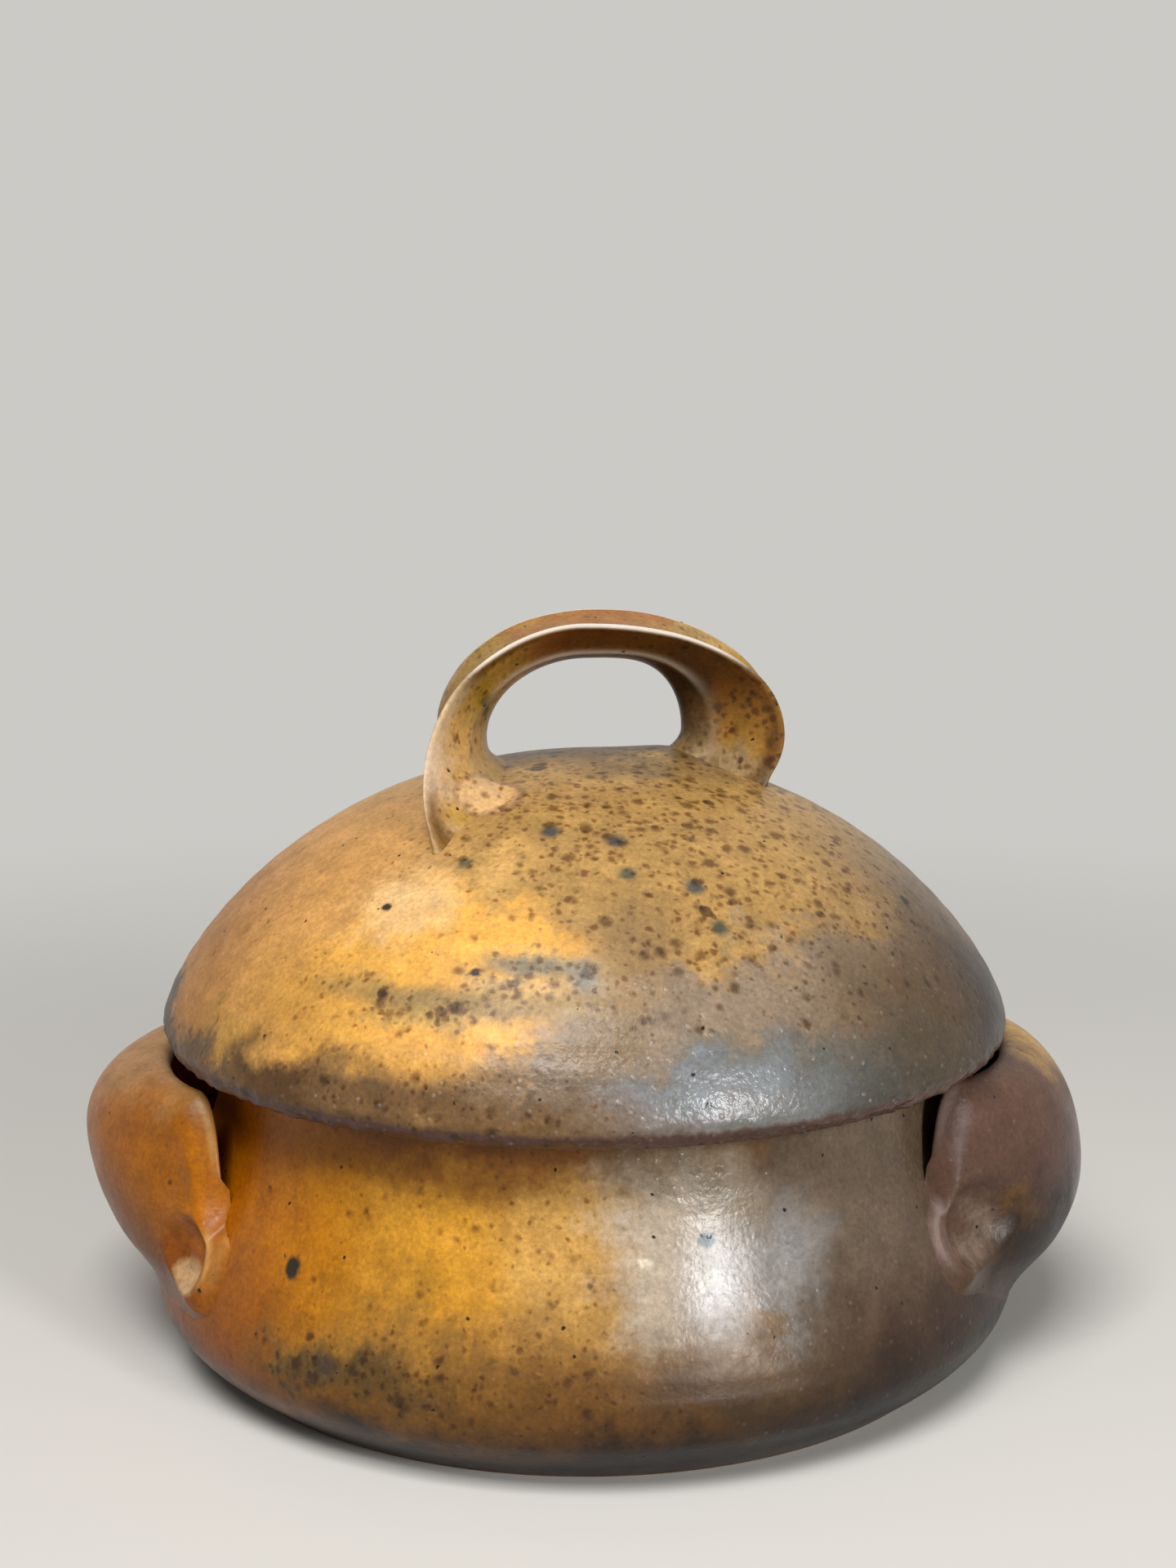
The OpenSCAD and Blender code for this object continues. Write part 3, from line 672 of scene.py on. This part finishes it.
def strap_skin(turn, across, skin):
    """A point of the strap: turn goes over the arch, across from edge to edge, and skin from inside to
    outside."""
    on_left = turn > math.pi / 2
    side = -1 if on_left else 1
    curl = left_curl if on_left else right_curl
    foot_half = left_foot_half if on_left else right_foot_half
    flare = across * across
    square = 1 if on_left else mix(right_shoulder, 1, flare)
    rib = rib_height * math.exp(-((abs(across) - rib_line) / rib_width) ** 2)
    thick = skin * mix(strap_mid_t, strap_edge_t, flare) - (1 - skin) * rib
    half = side * (opening_half + (left_flare if on_left else right_flare) * flare + thick)
    rise = (math.sin(turn) + math.sin(curl)) / (1 + math.sin(curl))
    spread = (1 - rise) ** 2
    x = half * abs(math.cos(turn)) ** square
    y = x * math.tan(strap_skew) + across * mix(strap_half_w, foot_half, spread)
    foot_x = half * math.cos(curl) ** square
    foot_z = dome_height(foot_x, foot_x * math.tan(strap_skew) + across * foot_half) - sunk
    z = mix(foot_z, apex_z + opening_rise + top_flare * flare + thick, rise)
    # A wiped fillet where the strap runs onto the dome, swollen inside the arch
    swell = end_swell * (1 - flare)
    if on_left:
        swell = pad_swell * math.exp(-((across - pad_place) / pad_width) ** 2)
    swell *= 1 - skin
    low = max(0, 1 - (z - dome_height(x, y)) / (fillet_height + swell))
    away = side * (1 if skin > 0.5 else -1)
    x += away * (fillet_reach * (1 - 0.7 * flare) + swell) * low * low
    return Vector((x, y, z))


# Where the glaze runs thin and painted glints and highlights lie along the edges and the rib, and where
# painted shade lies inside the arch, by x and by height
bright_edge_z, bright_rib_z = (188, 203), (182, 197)
left_leg_x, left_leg_top, left_leg_foot = (-24, -34), (196, 186), (158, 170)
arch_shade_x, arch_shade_z = (-30, 0), (164, 192)
strap_clay = slab(170, 76, 5)
thin_glaze_and_glint = strap_clay.verts.layers.float.new("thin_glaze_and_glint")
painted_shade = strap_clay.verts.layers.float.new("painted_shade")
for vert in strap_clay.verts:
    turn = mix(-right_curl, math.pi + left_curl, vert.co.x)
    across, skin = 2 * vert.co.y - 1, vert.co.z
    outer, inner = strap_skin(turn, across, 1), strap_skin(turn, across, 0)
    middle, half = (outer + inner) / 2, (outer - inner) / 2
    place = middle - half * math.cos(math.pi * skin)
    if abs(across) > 0.99:
        onward = (outer - strap_skin(turn, across * 0.96, 1)).normalized()
        place += onward * half.length * math.sin(math.pi * skin)
    # A painted highlight along the rib inside the arch, a painted glint over thin glaze on the top edge,
    # and a pale strip with a painted highlight along the edges of the left leg
    on_rib = math.exp(-((abs(across) - rib_line) / 0.05) ** 2) * (1 - skin)
    rib = mix(0.05, 0.5, ease(*bright_rib_z, place.z)) * on_rib
    edge = ease(*bright_edge_z, place.z) * ease(0.985, 1, abs(across)) * ease(0.25, 0.5, skin)
    left_leg = ease(*left_leg_x, place.x) * ease(*left_leg_top, place.z) * ease(*left_leg_foot, place.z)
    vert[thin_glaze_and_glint] = max(rib, edge, 0.19 * left_leg * ease(0.86, 0.99, abs(across)))
    # Painted shade inside the arch, and a painted dark line of shade along the inner side of the edges,
    # under the glint
    arch_shade = ease(*arch_shade_x, place.x) * ease(*arch_shade_z, place.z)
    dark_edge = 0.8 * ease(0.9, 0.98, abs(across)) * (1 - left_leg)
    vert[painted_shade] = (1 - skin) * max(arch_shade, dark_edge)
    vert.co = place + strap_uneven * noise.noise(place / strap_uneven_size) * half.normalized()
bmesh.ops.recalc_face_normals(strap_clay, faces=strap_clay.faces)

# Ash glaze on the strap: ochre, orange along the top, with painted shade inside the arch, and pale along
# thin edges, where painted glints and highlights lie too
strap_glaze = fired_glaze(
    "wood_fired_ash_glaze_strap", ("A6803A", (0.36, 0.75, 0.1)), [
        ("A0682F", (5, 8, 209), (60, 60, 8), 0.4, (0.36, 0.6, 0.1)),         # orange top
        ("B89458", (38, 26, 200), (16, 20, 10), 0.6, (0.36, 0.8, 0.1)),      # light patch behind it
        ("745A3C", (32, 5, 180), (12, 25, 22), 0.5, (0.36, 0.6, 0.1)),       # smoked end of the opening
        ("9C7029", (52, -2, 178), (14, 25, 22), 0.4, (0.36, 1, 0.1)),        # amber flare
        ("8E7020", (-27, -20, 187), (10, 24, 13), 0.6, (0.36, 1, 0.1)),      # mustard inside
        ("C89C58", (-36, -36, 171), (11, 16, 14), 0.7, (0.38, 0.85, 0.05)),  # lower left leg
        ("D0AC84", (-42, -46, 166), (9, 13, 11), 0.5, (0.38, 0.5, 0.05)),    # pale left foot
        ("947B52", (40, 5, 163), (18, 25, 7), 0.5, (0.36, 0.9, 0.1)),        # grey fillet
    ], marks=wiped_press, thin_glaze_and_glint="D6CBBD", painted_shade="8C7048")
piece("lid_strap_handle_glazed", strap_clay, [strap_glaze], "lid", "lid_strap_handle")

# Studio: a pale matt floor under a pale surround, one wide soft light above the front, a smaller upright
# one at the right front, and a camera in front, a little above the strap, that looks slightly down.
surround, ambient_light, floor_pale, floor_bounce = "CBCAC6", "F4F2EE", "DDDAD4", "9C9282"
floor_r, fade_start, fade_end = 8, 0.22, 0.8


def shown(tree):
    """1 where the camera sees a surface, itself or in a reflection, and 0 where the surface only lights
    others."""
    path = add(tree, "LightPath", {})
    direct = add(tree, "Math", {0: path["Is Camera Ray"], 1: path["Is Glossy Ray"]},
                 operation="MAXIMUM")[0]
    return add(tree, "Math", {0: direct, 1: path["Is Transmission Ray"]}, operation="MAXIMUM")[0]


studio = bpy.data.worlds.new("pale_surround")
studio.use_nodes = True
tree = studio.node_tree
tree.nodes.clear()
seen = add(tree, "Background", {"Color": srgb(surround), "Strength": 1})[0]
ambient = add(tree, "Background", {"Color": srgb(ambient_light), "Strength": 0.16})[0]
lit = add(tree, "MixShader", {0: shown(tree), 1: ambient, 2: seen})[0]
add(tree, "OutputWorld", {"Surface": lit})
bpy.context.scene.world = studio

# Matt paint on the floor: pale and even, fading into the surround further out
floor_paint = bpy.data.materials.new("pale_matt_floor")
floor_paint.use_nodes = True
tree = floor_paint.node_tree
tree.nodes.clear()
direct = shown(tree)
paint = add(tree, "Mix", {FACTOR: direct, COLOUR_A: srgb(floor_bounce), COLOUR_B: srgb(floor_pale)},
            **COAT)[MIXED_COLOUR]
matt = add(tree, "BsdfDiffuse", {"Color": paint})[0]
distant = add(tree, "Emission", {"Color": srgb(surround), "Strength": 1})[0]
away = add(tree, "VectorMath", {0: add(tree, "TexCoord", {})["Object"]}, operation="LENGTH")["Value"]
fade = add(tree, "MapRange", {"Value": away, "From Min": fade_start, "From Max": fade_end},
           interpolation_type="SMOOTHSTEP")[0]
fade = add(tree, "Math", {0: fade, 1: direct}, operation="MULTIPLY")[0]
add(tree, "OutputMaterial", {"Surface": add(tree, "MixShader", {0: fade, 1: matt, 2: distant})[0]})
floor_mesh = bpy.data.meshes.new("studio_floor")
ground = bmesh.new()
bmesh.ops.create_circle(ground, cap_ends=True, radius=floor_r, segments=96)
ground.to_mesh(floor_mesh)
ground.free()
floor_mesh.materials.append(floor_paint)
studio_floor = bpy.data.objects.new("studio_floor", floor_mesh)
bpy.context.scene.collection.objects.link(studio_floor)

lit_point = Vector((0, 0, 0.09))
for name, place, width, height, watts in (("soft_front_light", (-0.3, -1.0, 1.75), 1.1, 0.9, 33),
                                          ("window_light", (0.92, -1.26, 0.62), 0.3, 0.5, 13.5)):
    lamp = bpy.data.lights.new(name, "AREA")
    lamp.shape = "RECTANGLE"
    lamp.size, lamp.size_y, lamp.energy = width, height, watts
    lamp_object = bpy.data.objects.new(name, lamp)
    lamp_object.location = place
    lamp_object.rotation_euler = (lit_point - Vector(place)).to_track_quat("-Z", "Y").to_euler()
    bpy.context.scene.collection.objects.link(lamp_object)

eye, look_down = (0, -0.6609, 0.2735), 9.93
view = bpy.data.cameras.new("photograph_view")
view.lens, view.sensor_width = 54.075, 36
view.shift_x = 4 / 1920
camera = bpy.data.objects.new("photograph_view", view)
camera.location = eye
camera.rotation_euler = (math.radians(90 - look_down), 0, 0)
bpy.context.scene.collection.objects.link(camera)
bpy.context.scene.camera = camera
bpy.context.scene.view_settings.view_transform = "Standard"
